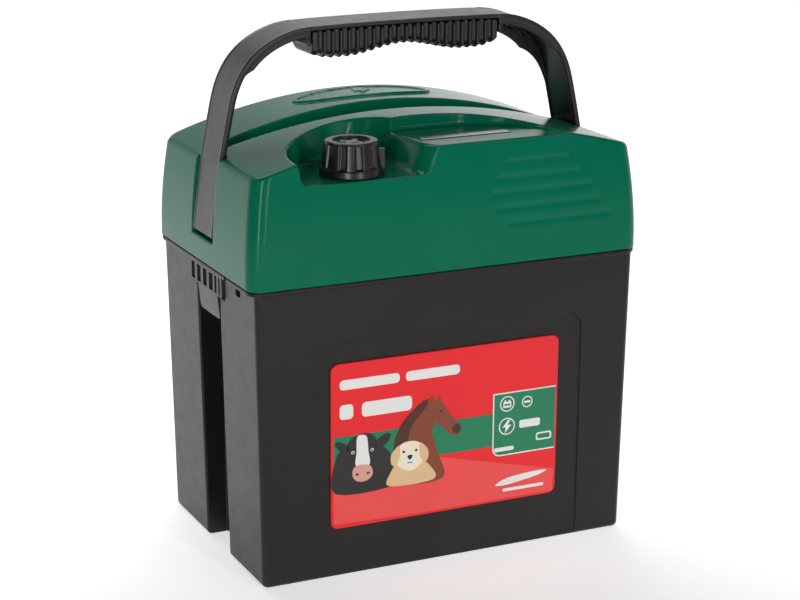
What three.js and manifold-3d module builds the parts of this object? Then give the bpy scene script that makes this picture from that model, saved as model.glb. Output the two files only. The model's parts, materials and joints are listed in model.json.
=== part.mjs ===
// Battery fence energizer: a black battery bin closed by a green two-hump lid that
// carries the electronics, a rotary power switch, the indicators and a carrying handle.
// Millimetres, +Z up. Origin: centre of the bin's footprint, on the surface it stands on.
// X runs along the long side, -Y is the front with the label, +Y the rear with the terminals.
import * as THREE from 'three';
import { mergeVertices } from 'three/addons/utils/BufferGeometryUtils.js';
import Module from 'manifold-3d';

const wasm = await Module();
wasm.setup();

// ---------------------------------------------------------------- driving dimensions
const RIM_W = 250;            // lid rim, X
const RIM_D = 159;            // lid rim, Y
const RIM_Z = 179.4;          // underside of the lid rim
const LID_WALL = 2.8;
const LID_CORNER = 9;
const LID_LEAN_X = 4.3;       // how far the lid's ends lean in at the shoulder
const LID_LEAN_Y = 2.8;
const FRONT_CROWN = 260.7;    // crown height of the front hump
const FRONT_CURVE = 0.00125;  // arch: z = crown - curve * x * x
const REAR_CROWN = 263.0;
const REAR_CURVE = 0.00160;
const VALLEY_Y0 = 2;          // trough between the two humps
const VALLEY_Y1 = 21;
const VALLEY_DEPTH = 11;
const VALLEY_HALF = 112;
const BOWL_FLOOR = 237;       // bowl that holds the knob
const STEP_FLOOR = 252.8;     // raised shelf with the indicators

const BIN_TOP_HW = 121.6;     // bin half width under its rim
const BIN_BOT_HW = 118.55;
const BIN_FRONT_TOP = 78.5;
const BIN_FRONT_BOT = 75.5;
const BIN_REAR = 78.5;
const BIN_CORNER = 4;
const BIN_WALL = 2.6;
const BIN_FLOOR = 3;
const FLANGE_Z0 = 176.8;
const FLANGE_Z1 = 179.1;
const GROOVE_Y0 = -18.6;       // channel down each end of the bin
const GROOVE_Y1 = 19;
const GROOVE_DEPTH = 16;
const PANEL_HW = 87.2;        // shallow recess for the label
const PANEL_TOP = 143.6;
const PANEL_DEPTH = 1.2;
const LABEL = { x0: -76.5, x1: 72.2, z0: 30.2, z1: 131.6, t: 1.0 };

const LATCH_Y0 = -26.5, LATCH_Y1 = 25.5;
const LATCH_Z0 = 163.6, LATCH_Z1 = 175.9;
const LATCH_PIVOT_X = 118.4, LATCH_PIVOT_Z = 169.6, LATCH_PIN_R = 1.4;

const HANDLE_Y0 = -17, HANDLE_Y1 = 15;
const HANDLE_WEB = 2.6;
const HANDLE_FOOT = 196.8;
const GRIP_HALF = 60;

const KNOB_X = -54, KNOB_Y = -57.5;
const KNOB_R0 = 18.6, KNOB_R1 = 15.8, KNOB_H = 20.3;
const KNOB_FLUTES = 11;

const BATTERY = { w: 190, d: 125, h: 146, top: 150, y: 1.5 };

// ---------------------------------------------------------------- helpers
function solid(g) {
  const m = g.clone();
  for (const k of Object.keys(m.attributes)) if (k !== 'position') m.deleteAttribute(k);
  const w = mergeVertices(m, 1e-4);
  const n = w.index.count;
  return new wasm.Manifold(new wasm.Mesh({
    numProp: 3,
    vertProperties: new Float32Array(w.attributes.position.array),
    triVerts: new Uint32Array(w.index.array.slice(0, n)),
  }));
}
function geometry(man) {
  const m = man.getMesh();
  const g = new THREE.BufferGeometry();
  const p = new Float32Array(m.numVert * 3);
  for (let i = 0; i < m.numVert; i++)
    for (let k = 0; k < 3; k++) p[3 * i + k] = m.vertProperties[m.numProp * i + k];
  g.setAttribute('position', new THREE.BufferAttribute(p, 3));
  g.setIndex(new THREE.BufferAttribute(new Uint32Array(m.triVerts), 1));
  g.computeVertexNormals();
  return g;
}
const all = (...s) => s.reduce((a, b) => a.add(b));
function box(x0, x1, y0, y1, z0, z1) {
  const g = new THREE.BoxGeometry(x1 - x0, y1 - y0, z1 - z0);
  g.translate((x0 + x1) / 2, (y0 + y1) / 2, (z0 + z1) / 2);
  return solid(g);
}
function cylZ(x, y, z0, z1, r0, n = 16, r1 = r0) {
  const g = new THREE.CylinderGeometry(r1, r0, z1 - z0, n);
  g.rotateX(Math.PI / 2);
  g.translate(x, y, (z0 + z1) / 2);
  return solid(g);
}
function cylY(x, z, y0, y1, r, n = 16) {
  const g = new THREE.CylinderGeometry(r, r, y1 - y0, n);
  g.translate(x, (y0 + y1) / 2, z);
  return solid(g);
}
function cylX(y, z, x0, x1, r, n = 12) {
  const g = new THREE.CylinderGeometry(r, r, x1 - x0, n);
  g.rotateZ(Math.PI / 2);
  g.translate((x0 + x1) / 2, y, z);
  return solid(g);
}
// outline given as [x, z] points, pushed from y0 to y1
function prismXZ(points, y0, y1) {
  const s = new THREE.Shape(points.map(([x, z]) => new THREE.Vector2(x, z)));
  const g = new THREE.ExtrudeGeometry(s, { depth: y1 - y0, bevelEnabled: false });
  g.rotateX(Math.PI / 2);
  g.translate(0, y1, 0);
  return solid(g);
}
// outline given as [y, z] points, pushed from x0 to x1
function prismYZ(points, x0, x1) {
  const s = new THREE.Shape(points.map(([y, z]) => new THREE.Vector2(y, z)));
  const g = new THREE.ExtrudeGeometry(s, { depth: x1 - x0, bevelEnabled: false });
  const m = new THREE.Matrix4().set(0, 0, 1, x0, 1, 0, 0, 0, 0, 1, 0, 0, 0, 0, 0, 1);
  g.applyMatrix4(m);
  return solid(g);
}
// outline given as [x, y] points, pushed from z0 to z1
function prismXY(points, z0, z1) {
  const s = new THREE.Shape(points.map(([x, y]) => new THREE.Vector2(x, y)));
  const g = new THREE.ExtrudeGeometry(s, { depth: z1 - z0, bevelEnabled: false });
  g.translate(0, 0, z0);
  return solid(g);
}
// skin over matching outlines, each { z, pts: [[x, y], ...] } listed counter-clockwise
function loft(sections) {
  const n = sections[0].pts.length;
  const pos = [], idx = [];
  for (const s of sections) for (const [x, y] of s.pts) pos.push(x, y, s.z);
  for (let k = 0; k + 1 < sections.length; k++)
    for (let i = 0; i < n; i++) {
      const a = k * n + i, b = k * n + (i + 1) % n, c = a + n, d = b + n;
      idx.push(a, b, d, a, d, c);
    }
  const cap = THREE.ShapeUtils.triangulateShape(sections[0].pts.map(([x, y]) => new THREE.Vector2(x, y)), []);
  const top = THREE.ShapeUtils.triangulateShape(sections.at(-1).pts.map(([x, y]) => new THREE.Vector2(x, y)), []);
  const o = (sections.length - 1) * n;
  for (const [a, b, c] of cap) idx.push(a, c, b);
  for (const [a, b, c] of top) idx.push(o + a, o + b, o + c);
  const g = new THREE.BufferGeometry();
  g.setAttribute('position', new THREE.BufferAttribute(new Float32Array(pos), 3));
  g.setIndex(idx);
  return solid(g);
}
function roundRect(x0, x1, y0, y1, r, n = 4) {
  const out = [];
  const arc = (cx, cy, a0) => {
    for (let i = 0; i <= n; i++) {
      const a = a0 + (Math.PI / 2) * i / n;
      out.push([cx + r * Math.cos(a), cy + r * Math.sin(a)]);
    }
  };
  arc(x1 - r, y0 + r, -Math.PI / 2);
  arc(x1 - r, y1 - r, 0);
  arc(x0 + r, y1 - r, Math.PI / 2);
  arc(x0 + r, y0 + r, Math.PI);
  return out;
}

const group = new THREE.Group();
function add(name, man, color, roughness, metalness = 0, parent = group) {
  const g = man.isBufferGeometry ? man : geometry(man);
  const mesh = new THREE.Mesh(g, new THREE.MeshStandardMaterial({ color, roughness, metalness }));
  mesh.name = name;
  parent.add(mesh);
  return mesh;
}
const BLACK = 0x24231f, GREEN = 0x00644a, RED = 0xd6202b, STEEL = 0xb9bcc0, BRASS = 0xc8a24a;

// ---------------------------------------------------------------- battery bin
function binSection(z, inset, x0 = 0) {
  const t = z / RIM_Z;
  const hw = BIN_BOT_HW + (BIN_TOP_HW - BIN_BOT_HW) * t - inset;
  const yf = -(BIN_FRONT_BOT + (BIN_FRONT_TOP - BIN_FRONT_BOT) * t) + inset;
  const yr = BIN_REAR - inset;
  return { z, pts: roundRect(-hw, hw, yf, yr, Math.max(BIN_CORNER - inset, 3)) };
}
const binOuter = loft([
  binSection(0, 3.2),
  binSection(1.2, 1.2), binSection(4.5, 0), binSection(FLANGE_Z1, 0)]);
const flange = loft([
  { z: FLANGE_Z0, pts: roundRect(-RIM_W / 2 + 0.3, RIM_W / 2 - 0.3, -RIM_D / 2 + 0.3, RIM_D / 2 - 0.3, LID_CORNER) },
  { z: FLANGE_Z1, pts: roundRect(-RIM_W / 2 + 0.3, RIM_W / 2 - 0.3, -RIM_D / 2 + 0.3, RIM_D / 2 - 0.3, LID_CORNER) }]);
const binInner = loft([
  { ...binSection(4, BIN_WALL), z: BIN_FLOOR }, { ...binSection(RIM_Z, BIN_WALL), z: RIM_Z + 2 }]);
const mirrorX = (m) => m.mirror([1, 0, 0]);
function both(left) { return left.add(mirrorX(left)); }
const groove = both(box(-140, -(BIN_TOP_HW - GROOVE_DEPTH), GROOVE_Y0, GROOVE_Y1, -5, FLANGE_Z0));
const grooveSkin = both(box(-140, -(BIN_TOP_HW - GROOVE_DEPTH - BIN_WALL), GROOVE_Y0 - BIN_WALL, GROOVE_Y1 + BIN_WALL, -5, FLANGE_Z1));
const pocket = both(box(-140, -115.2, LATCH_Y0 - 0.9, LATCH_Y1 + 0.9, LATCH_Z0 - 1.2, FLANGE_Z0));
const pocketSkin = both(box(-140, -112.6, LATCH_Y0 - 3.4, LATCH_Y1 + 3.4, LATCH_Z0 - 3.8, FLANGE_Z1));
const panelOuter = (() => {
  const r = 9, p = [[-PANEL_HW, -5], [PANEL_HW, -5]];
  for (let i = 0; i <= 4; i++) { const a = Math.PI / 2 * i / 4; p.push([PANEL_HW - r + r * Math.cos(a), PANEL_TOP - r + r * Math.sin(a)]); }
  for (let i = 0; i <= 4; i++) { const a = Math.PI / 2 * (1 + i / 4); p.push([-PANEL_HW + r + r * Math.cos(a), PANEL_TOP - r + r * Math.sin(a)]); }
  return prismXZ(p, -90, -60);
})();
// the recess follows the leaning front wall, PANEL_DEPTH behind it
const lean = (BIN_FRONT_TOP - BIN_FRONT_BOT) / RIM_Z;
const panelSlab = prismYZ([
  [-95, -6], [-BIN_FRONT_BOT + PANEL_DEPTH + 6 * lean, -6],
  [-BIN_FRONT_BOT + PANEL_DEPTH - 160 * lean, 160], [-95, 160]], -100, 100);
const pinHole = both(cylY(-LATCH_PIVOT_X, LATCH_PIVOT_Z, LATCH_Y0 - 2.4, LATCH_Y1 + 2.4, LATCH_PIN_R + 0.3, 12));
const bin = binOuter.add(flange)
  .subtract(groove).subtract(pocket)
  .subtract(panelOuter.intersect(panelSlab))
  .subtract(binInner.subtract(grooveSkin).subtract(pocketSkin))
  .subtract(pinHole)
  .subtract(both(box(-126, -123.6, -41, -36, FLANGE_Z0 - 1, FLANGE_Z1 + 1)))
  .subtract(both(prismYZ([[-52.5, 171.6], [-51, 170.6], [-46.5, 170.6], [-46.5, 175.6], [-52.5, 175.6]], -126, -115)));   // drain hole under the rim

// raised sticker on the recessed panel, set parallel to the leaning wall
{
  const s = roundRect(LABEL.x0, LABEL.x1, LABEL.z0, LABEL.z1, 5, 4);
  const face = (z) => -BIN_FRONT_BOT + PANEL_DEPTH - z * lean;
  const slab = prismYZ([
    [face(LABEL.z0 - 5) - 0.3 - LABEL.t, LABEL.z0 - 5], [face(LABEL.z0 - 5) - 0.3, LABEL.z0 - 5],
    [face(LABEL.z1 + 5) - 0.3, LABEL.z1 + 5], [face(LABEL.z1 + 5) - 0.3 - LABEL.t, LABEL.z1 + 5]], -90, 90);
  add('label_plate', prismXZ(s, -90, -60).intersect(slab), RED, 0.22);
}

// rim seal, seated in a groove round the top of the bin's flange
const sealRing = (g, z0, z1) => loft([
  { z: z0, pts: roundRect(-122.9 - g, 122.9 + g, -77.7 - g, 77.7 + g, 8.6) },
  { z: z1, pts: roundRect(-122.9 - g, 122.9 + g, -77.7 - g, 77.7 + g, 8.6) }])
  .subtract(loft([
    { z: z0 - 1, pts: roundRect(-120.5 + g, 120.5 - g, -75.3 + g, 75.3 - g, 6.4) },
    { z: z1 + 1, pts: roundRect(-120.5 + g, 120.5 - g, -75.3 + g, 75.3 - g, 6.4) }]));
add('bin', bin.subtract(sealRing(0.3, FLANGE_Z1 - 1.6, FLANGE_Z1 + 2)), BLACK, 0.55);
add('rim_seal', sealRing(0, FLANGE_Z1 - 1.3, FLANGE_Z1), 0x1b1b1b, 0.8);

// ---------------------------------------------------------------- battery
{
  const b = BATTERY, z0 = BIN_FLOOR + 0.4;
  add('battery_case', loft([
    { z: z0, pts: roundRect(-b.w / 2, b.w / 2, b.y - b.d / 2, b.y + b.d / 2, 5, 3) },
    { z: z0 + b.h, pts: roundRect(-b.w / 2, b.w / 2, b.y - b.d / 2, b.y + b.d / 2, 5, 3) }]), 0x2d5d86, 0.6);
  add('battery_cover', loft([
    { z: z0 + b.h + 0.3, pts: roundRect(-b.w / 2, b.w / 2, b.y - b.d / 2, b.y + b.d / 2, 5, 3) },
    { z: z0 + b.h + 5, pts: roundRect(-b.w / 2, b.w / 2, b.y - b.d / 2, b.y + b.d / 2, 5, 3) },
    { z: z0 + b.h + 6.5, pts: roundRect(-b.w / 2 + 2, b.w / 2 - 2, b.y - b.d / 2 + 2, b.y + b.d / 2 - 2, 4, 3) }]), 0x2a2c2e, 0.6);
  const t = z0 + b.h + 6.8;
  const post = (x) => all(cylZ(x, b.y - 35, t, t + 2, 8, 20), cylZ(x, b.y - 35, t + 1.5, t + 6.5, 4, 16));
  add('battery_terminal_positive', post(-62), 0xb8322c, 0.5);
  add('battery_terminal_negative', post(62), 0x2e6fb0, 0.5);
}

// ---------------------------------------------------------------- side latches
const latchProfileTab = [
  [-18.0, LATCH_Z0 + 0.6], [-18.2, 150.4], [-17.4, 149], [-15.6, 148.4], [11.6, 148.4], [13.4, 149], [14.2, 150.4], [14.4, LATCH_Z0 + 0.6]];
function latch() {
  // plate that fills the pocket under the rim, with wide windows between its teeth
  let plate = box(-122.9, -116.4, LATCH_Y0, LATCH_Y1, LATCH_Z0, LATCH_Z1);
  for (const [a, b] of [[18.6, 24.3], [8.6, 14.8], [-1.6, 4.6], [-11.8, -5.6], [-18.3, -14.9], [-23.9, -21.3]])
    plate = plate.subtract(box(-130, -120.5, a, b, LATCH_Z0 + 1.0, LATCH_Z1 - 1.0));
  plate = plate.subtract(cylY(-LATCH_PIVOT_X, LATCH_PIVOT_Z, -40, 40, LATCH_PIN_R + 0.35, 12));
  // finger tab that closes the top of the channel, leaning in towards its lower edge
  const lip = prismXZ([[-122.6, LATCH_Z0 + 0.5], [-121.0, 148.2], [-118.7, 148.2], [-119.2, 158], [-118.6, LATCH_Z0 + 0.5]], -18.2, 14.4);
  const tab = prismYZ(latchProfileTab, -130, -110).intersect(lip);
  return plate.add(tab);
}
function pair(name, left, color, roughness, metalness = 0) {
  add('left_' + name, left, color, roughness, metalness);
  add('right_' + name, mirrorX(left), color, roughness, metalness);
}
pair('latch', latch(), 0x2b2a27, 0.5);
pair('latch_pin', cylY(-LATCH_PIVOT_X, LATCH_PIVOT_Z, LATCH_Y0 - 2.1, LATCH_Y1 + 2.1, LATCH_PIN_R, 12), STEEL, 0.3, 0.9);
// leaf spring on the channel's back wall, bearing lightly behind the tab
{
  const s = [[-105.9, 140], [-105.9, 158.4], [-118.7, 159.6], [-118.7, 158.8], [-106.7, 157.6], [-106.7, 140]];
  pair('latch_spring', prismXZ(s, -5, 5), STEEL, 0.3, 0.9);
}

// ---------------------------------------------------------------- lid
const lid = new THREE.Group();
group.add(lid);
const lidLean = (z) => Math.pow(Math.max(0, (z - 187) / 51), 1.8);
const lidLevels = [RIM_Z, 187, 197, 207, 216, 224, 231, 238, 246, 268];
const lidSection = (z, inset) => ({
  z,
  pts: roundRect(
    -RIM_W / 2 + LID_LEAN_X * lidLean(z) + inset, RIM_W / 2 - LID_LEAN_X * lidLean(z) - inset,
    -RIM_D / 2 + LID_LEAN_Y * lidLean(z) + inset, RIM_D / 2 - LID_LEAN_Y * lidLean(z) - inset,
    Math.max(LID_CORNER - inset, 3), 4),
});
function archSlab(crown, curve, drop, y0, y1) {
  const p = [], n = 28;
  for (let i = 0; i <= n; i++) { const x = 130 - 260 * i / n; p.push([x, crown - curve * x * x - drop]); }
  return prismXZ([[-130, 160], [130, 160], ...p], y0, y1);
}
function dome(drop) {
  // front hump, trough and rear hump under one skin
  return all(
    archSlab(FRONT_CROWN, FRONT_CURVE, drop, -90, VALLEY_Y0 + 6),
    archSlab(REAR_CROWN, REAR_CURVE, drop, VALLEY_Y1 - 0.5, 90),
    archSlab(REAR_CROWN - 1.2, (REAR_CURVE + FRONT_CURVE) / 2, drop, VALLEY_Y0 + 5, VALLEY_Y1));
}
const trough = (grow) => {
  const p = [], n = 24, w = VALLEY_HALF + grow;
  for (let i = 0; i <= n; i++) { const x = w - 2 * w * i / n; p.push([x, REAR_CROWN - REAR_CURVE * x * x - VALLEY_DEPTH - grow]); }
  const arch = prismXZ([...p.reverse(), [w, 300], [-w, 300]].reverse(), -20, 60);
  const walls = prismYZ([[VALLEY_Y0 + 5 - grow, 200], [VALLEY_Y1 - 1.5 + grow, 200], [VALLEY_Y1 + grow, 266], [VALLEY_Y1 + grow, 300], [VALLEY_Y0 - 1 - grow, 300], [VALLEY_Y0 - grow, 259]], -w, w);
  return arch.intersect(walls);
};
const bowlTop = [[-97.5, -95], [-96, -66], [-92.5, -48], [-86, -34.5], [-77, -24.5], [-64, -15.5], [-50, -10.3], [-36, -9.8], [-24.5, -13], [-16, -19.2], [-12, -27], [-10.6, -46], [-9.2, -62], [-6.0, -71], [-0.5, -79], [9, -95]];
const bowlLow = [[-92.2, -95], [-91, -66], [-87.6, -50.5], [-81.5, -39], [-73, -30], [-61.5, -22], [-49.5, -17.4], [-39, -17.0], [-31, -19.6], [-25.5, -25], [-22.4, -33], [-21.6, -46], [-20.8, -62], [-18.6, -71], [-13, -79], [-3, -95]];
const grown = (pts, g) => {
  const cx = -54, cy = -52;
  return pts.map(([x, y]) => { const d = Math.hypot(x - cx, y - cy); return [cx + (x - cx) * (1 + g / d), y < -90 ? y : cy + (y - cy) * (1 + g / d)]; }).reverse();
};
const bowl = (g) => loft([
  { z: BOWL_FLOOR - g, pts: grown(bowlLow, g) }, { z: 262, pts: grown(bowlTop, g) }, { z: 285, pts: grown(bowlTop, g) }]);
const stepPts = [[-22, -95], [84.5, -95], [81, -78], [75.5, -62], [67.5, -47.5], [56, -35.5], [42, -27.6], [25, -23.6], [0, -22.6], [-12, -24.2], [-22, -30]];
const stepCut = (g) => prismXY(stepPts.map(([x, y]) => [x + (x > 30 ? g : x < 0 ? -g : 0), y + (y > -50 ? g : 0)]), STEP_FLOOR - g, 285);
const slotL = (g) => prismXZ([[-140, 194.4 - g], [-120.4 + g, 194.4 - g], [-114.2 + g, 243], [-110.5 + g, 262], [-110.5 + g, 290], [-140, 290]], HANDLE_Y0 - 1.2 - g, HANDLE_Y1 + 1.2 + g);
const rearPocket = (g) => box(-31 - g, 31 + g, 65 - g, 95, 191 - g, 221 + g);
const bosses = [[-100, 62], [100, 62], [-100, -62], [100, -62]];
const skin = dome(0).intersect(loft(lidLevels.map((z) => lidSection(z, 0))));
const hollow = dome(LID_WALL).intersect(loft([{ ...lidSection(RIM_Z, LID_WALL), z: RIM_Z - 3 }, ...lidLevels.slice(1).map((z) => lidSection(z, LID_WALL))]))
  .subtract(trough(LID_WALL)).subtract(bowl(LID_WALL)).subtract(stepCut(LID_WALL)).subtract(both(slotL(LID_WALL))).subtract(rearPocket(LID_WALL));
const bossPosts = all(...bosses.map(([x, y]) => cylZ(x, y, 184.6, 262, 4.2, 12))).intersect(dome(LID_WALL - 1));
const badge = (() => {
  const p = [];
  for (let i = 0; i < 28; i++) { const a = 2 * Math.PI * i / 28; p.push([46 * Math.cos(a), 49 + 15 * Math.sin(a)]); }
  return prismXY(p, 245, 290).intersect(archSlab(REAR_CROWN, REAR_CURVE, -1.3, 30, 68));
})();
const WINDOW = { x0: -9.5, x1: 48.5, y0: -57.5, y1: -49.5 };
const handleHoles = all(...[-1, 1].flatMap((s) => [-8, 6].map((y) => cylX(y, 206, s > 0 ? 112 : -124, s > 0 ? 124 : -112, 1.9, 10))));
const STUDS = [-15, 15], STUD_Z = 206;
let lidShell = skin.subtract(trough(0)).subtract(bowl(0)).subtract(stepCut(0)).subtract(both(slotL(0))).subtract(rearPocket(0))
  .subtract(hollow).add(bossPosts.intersect(skin)).add(badge)
  .subtract(all(...bosses.map(([x, y]) => cylZ(x, y, 180, 200, 1.8, 10))))
  .subtract(cylZ(KNOB_X, KNOB_Y, 225, 245, 5.2, 20))
  .subtract(box(WINDOW.x0, WINDOW.x1, WINDOW.y0, WINDOW.y1, 245, 260))
  .subtract(handleHoles)
  .subtract(all(...STUDS.map((x) => cylY(x, STUD_Z, 55, 80, 3.0, 14))));
// five shallow grip lines on the right of the front face
const lines = [[36, 76, 239.3], [30, 83, 230.3], [27, 91, 221.8], [29, 97, 212.8], [37, 103, 203.6]];
for (const [x0, x1, z] of lines)
  lidShell = lidShell.subtract(box(x0, x1, -95, -RIM_D / 2 + LID_LEAN_Y * lidLean(z) + 0.7, z - 1.1, z + 1.1));
add('lid_shell', lidShell, GREEN, 0.35, 0, lid);

// ---------------------------------------------------------------- handle
const outer = [[0, 316.9], [25, 316.8], [46, 316.5], [58, 316.2], [68.5, 315.2], [76, 313.4], [83, 310.7], [90, 306.9], [96, 302.4], [101, 297.2], [105, 291.4], [108.3, 284.8], [110.8, 277.5], [113.4, 266.5], [116.4, 252], [118.9, 239], [121.2, 223], [123.1, 209], [124.5, HANDLE_FOOT]];
const offsetIn = (pts, d) => pts.map(([x, z], i) => {
  const a = pts[Math.max(0, i - 1)], b = pts[Math.min(pts.length - 1, i + 1)];
  const tx = b[0] - a[0], tz = b[1] - a[1], l = Math.hypot(tx, tz);
  const dd = typeof d === 'function' ? d(i, x, z) : d;
  return [x + tz / l * dd, z - tx / l * dd];
});
const webHalf = offsetIn(outer, HANDLE_WEB);
webHalf[0][0] = 0;
const ring = (o, i) => [...o.slice().reverse().map(([x, z]) => [x, z]), ...o.slice(1).map(([x, z]) => [-x, z]), ...i.slice().reverse().map(([x, z]) => [-x, z]), ...i.slice(1).map(([x, z]) => [x, z])];
const web = prismXZ(ring(outer, webHalf), HANDLE_Y0, HANDLE_Y1);
// side flanges: deep round the bends, fading out down the legs
const flangeDepth = (full) => (i, x, z) => x < 101 ? full : z > 240 ? Math.max(3.4, full - (x - 101) * 0.75) : 3.2;
const flanges = (y0, y1, full) => {
  const from = 3;                                     // starts beyond the grip
  const o = [[GRIP_HALF + 0.8, 316.0], ...outer.slice(from + 1)];
  const i = offsetIn(outer, flangeDepth(full)).slice(from + 1);
  i.unshift([GRIP_HALF + 0.8, 316.0 - full]);
  const p = [...o, ...i.reverse()];
  return both(prismXZ(p.map(([x, z]) => [x, z - 0.05]).reverse(), y0, y1));
};
const endWall = both(prismXZ([[GRIP_HALF + 0.8, 315.4], [GRIP_HALF + 3, 315.2], [GRIP_HALF + 3, 305], [GRIP_HALF + 0.8, 305]].reverse(), HANDLE_Y0 + 0.5, HANDLE_Y1 - 0.5));
const feet = both(box(-122.6, -120.2, HANDLE_Y0 + 4, HANDLE_Y1 - 4, HANDLE_FOOT, 214).intersect(slotL(-0.4)));
let handle = all(web, flanges(HANDLE_Y0, HANDLE_Y0 + 2.2, 6), flanges(HANDLE_Y1 - 2.2, HANDLE_Y1, 12.5), endWall);
handle = handle.subtract(all(...[-1, 1].flatMap((s) => [-8, 6].map((y) => cylX(y, 206, s > 0 ? 112 : -123.0, s > 0 ? 123.0 : -112, 1.7, 10)))));
add('handle', handle, BLACK, 0.45, 0, lid);
// ribbed grip that fills the underside of the top bar
{
  const low = [];
  const under = (x) => 296.6 + 5.6 * Math.pow(Math.cos(Math.min(1, Math.abs(x) / 38) * Math.PI / 2), 2) + (Math.abs(x) > 46 ? Math.pow((Math.abs(x) - 46) / 14, 2) * 3.2 : 0);
  const n = 46;
  for (let i = 0; i <= n; i++) { const x = -GRIP_HALF + 2 * GRIP_HALF * i / n; low.push([x, under(x) + (i % 2 ? 0.9 : 0)]); }
  const top = [[GRIP_HALF, 313.2], [46, 313.5], [0, 313.9], [-46, 313.5], [-GRIP_HALF, 313.2]];
  const body = prismXZ([...low, ...top], HANDLE_Y0 + 0.8, HANDLE_Y1 - 0.8);
  const ribs = [];
  for (let i = 0; i < 23; i++) {
    const x = -GRIP_HALF + 2 * GRIP_HALF * (i + 0.5) / 23;
    ribs.push(prismXZ([[x - 1.4, under(x) + 0.4], [x + 1.4, under(x) + 0.4], [x + 1.4, 312.8], [x - 1.4, 312.8]], HANDLE_Y0, HANDLE_Y1));
  }
  add('handle_grip', all(body, ...ribs), 0x201f1d, 0.6, 0, lid);
}
// four screws that hold the handle's legs from inside the lid
for (const [side, s] of [['left', -1], ['right', 1]])
  for (const [place, y] of [['front', -8], ['rear', 6]]) {
    const a = s < 0 ? [-121.9, -113.2] : [113.2, 121.9], h = s < 0 ? [-113.4, -111.4] : [111.4, 113.4];
    add(`handle_screw_${side}_${place}`, cylX(y, 206, a[0], a[1], 1.3, 8).add(cylX(y, 206, h[0], h[1], 3, 10)), STEEL, 0.3, 0.9, lid);
  }

// ---------------------------------------------------------------- knob and switch
{
  // fluted, tapered cap with a plain skirt and a pointer lug
  const z0 = BOWL_FLOOR + 0.8, z1 = z0 + KNOB_H - 0.8;
  const fl = (r, depth) => {
    const p = [], n = KNOB_FLUTES * 6;
    for (let i = 0; i < n; i++) {
      const a = 2 * Math.PI * i / n, ph = (i % 6) / 6;
      const d = ph > 0.05 && ph < 0.6 ? depth * Math.sin(Math.PI * (ph - 0.05) / 0.55) : 0;
      p.push([KNOB_X + (r - d) * Math.cos(a), KNOB_Y + (r - d) * Math.sin(a)]);
    }
    return p;
  };
  let k = loft([
    { z: z0, pts: fl(KNOB_R0, 0) }, { z: z0 + 4.2, pts: fl(KNOB_R0 - 0.5, 0) }, { z: z0 + 4.6, pts: fl(KNOB_R0 - 0.6, 1.1) },
    { z: z1 - 1.2, pts: fl(KNOB_R1 + 0.1, 1.0) }, { z: z1, pts: fl(KNOB_R1 - 0.8, 0.2) }]);
  k = k.subtract(cylZ(KNOB_X, KNOB_Y, z1 - 5, z1 + 2, 8.4, 24));
  k = k.subtract(cylZ(KNOB_X, KNOB_Y, z0 - 1, z0 + 12, 3.4, 16)).subtract(cylZ(KNOB_X, KNOB_Y, z0 - 1, z0 + 4, 8, 20));
  const dir = -25 * Math.PI / 180;
  const lug = (() => {
    const g = new THREE.BoxGeometry(6.4, 4.6, 14.2);
    g.translate(16.1, 0, z0 + 7.3);
    g.rotateZ(dir);
    g.translate(KNOB_X, KNOB_Y, 0);
    return solid(g);
  })();
  k = k.add(lug.subtract(cylZ(KNOB_X, KNOB_Y, 200, 300, 13.6, 24)));
  add('knob', k, 0x262523, 0.4, 0, lid);
  const hub = all(cylZ(KNOB_X, KNOB_Y, z1 - 4.7, z1 - 1.6, 2.6, 16),
    ...[0, 1].map((i) => { const g = new THREE.BoxGeometry(15.6, 2.2, 2.4); g.rotateZ(Math.PI / 4 + i * Math.PI / 2); g.translate(KNOB_X, KNOB_Y, z1 - 3.4); return solid(g); }));
  add('knob_hub_cap', hub, 0x6f6e6b, 0.4, 0, lid);
  add('switch_shaft', cylZ(KNOB_X, KNOB_Y, 214.5, z0 + 11.4, 3.0, 16), STEEL, 0.3, 0.9, lid);
  const bush = cylZ(KNOB_X, KNOB_Y, 231, 240.6, 4.7, 20).add(box(KNOB_X - 13, KNOB_X + 13, KNOB_Y - 13, KNOB_Y + 13, 217, 233.7)).subtract(cylZ(KNOB_X, KNOB_Y, 212, 250, 3.4, 16));
  add('rotary_switch', bush, 0x33363a, 0.5, 0, lid);
  add('switch_nut', cylZ(KNOB_X, KNOB_Y, 237.3, 239.6, 7, 6).subtract(cylZ(KNOB_X, KNOB_Y, 230, 250, 5.05, 20)), STEEL, 0.3, 0.9, lid);
}

// ---------------------------------------------------------------- indicators
add('indicator_window', box(WINDOW.x0 + 0.3, WINDOW.x1 - 0.3, WINDOW.y0 + 0.3, WINDOW.y1 - 0.3, 250.2, 253.1), 0x2c2a2a, 0.12, 0, lid);
const ledX = [-2, 9, 20, 31, 42];
ledX.forEach((x, i) => add('status_led_' + (i + 1), cylZ(x, -53.5, 245.2, 249.8, 2.5, 12), i ? 0x8fd06a : 0xd84a3a, 0.3, 0, lid));
add('indicator_board', box(-8, 47, -60, -47, 243.2, 244.8), 0x1f6b3a, 0.5, 0, lid);

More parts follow.
